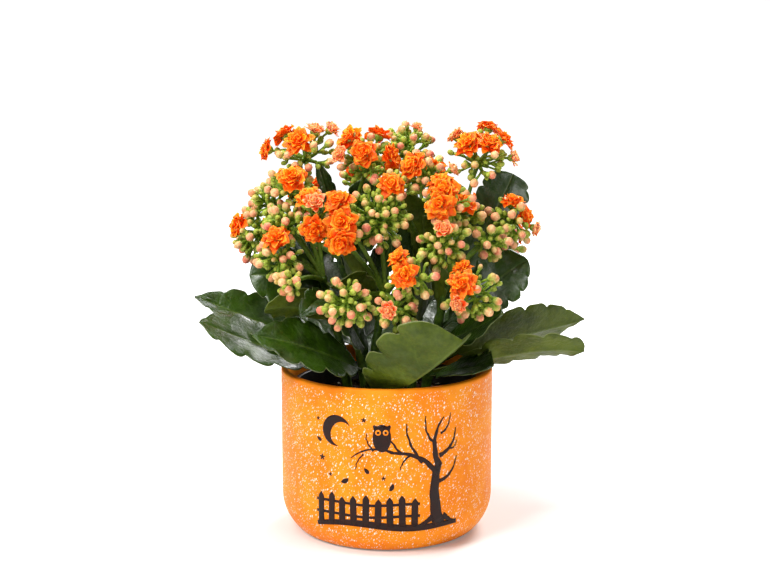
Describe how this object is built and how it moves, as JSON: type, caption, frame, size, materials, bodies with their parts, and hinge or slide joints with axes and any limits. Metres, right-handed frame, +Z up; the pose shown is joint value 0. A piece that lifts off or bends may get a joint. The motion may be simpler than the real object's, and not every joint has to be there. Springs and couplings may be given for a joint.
{
  "type": "potted kalanchoe",
  "caption": "Double-flowered orange kalanchoe with scalloped fleshy leaves, standing in a grower's pot inside a round speckled ceramic cover pot.",
  "frame": {"origin": "middle of the cover pot's flat underside, where it rests", "axes": "+Z up along the pot's axis, -Y towards the side seen in the picture, +X to the right of that view"},
  "size_m": [0.2477, 0.1899, 0.2603],
  "materials": {
    "pot_glaze": "matt orange glaze with small pale specks",
    "grower_plastic": "thin dark moulded plastic",
    "potting_soil": "dark crumbly peat soil with pale grains",
    "leaf_green": "fresh fleshy leaf and stem, waxy and faintly pebbled",
    "petal_orange": "fresh soft petals, orange with redder edges, and peach buds"
  },
  "bodies": {
    "root": {"pot": "pot_glaze", "nursery_pot": "grower_plastic", "soil": "potting_soil", "shoot_left": "leaf_green", "shoot_front": "leaf_green", "shoot_right": "leaf_green", "shoot_back_left": "leaf_green", "shoot_back_right": "leaf_green", "head_01": "petal_orange", "head_02": "petal_orange", "head_03": "petal_orange", "head_04": "petal_orange", "head_05": "petal_orange", "head_06": "petal_orange", "head_07": "petal_orange", "head_08": "petal_orange", "head_09": "petal_orange", "head_10": "petal_orange", "head_11": "petal_orange", "head_12": "petal_orange", "head_13": "petal_orange", "head_14": "petal_orange", "head_15": "petal_orange", "head_16": "petal_orange", "head_17": "petal_orange", "head_18": "petal_orange", "head_19": "petal_orange", "head_20": "petal_orange", "head_21": "petal_orange", "head_22": "petal_orange", "head_23": "petal_orange", "head_24": "petal_orange", "head_25": "petal_orange", "head_26": "petal_orange", "head_27": "petal_orange", "head_28": "petal_orange", "head_29": "petal_orange", "head_30": "petal_orange", "head_31": "petal_orange", "head_32": "petal_orange"}
  },
  "joints": []
}
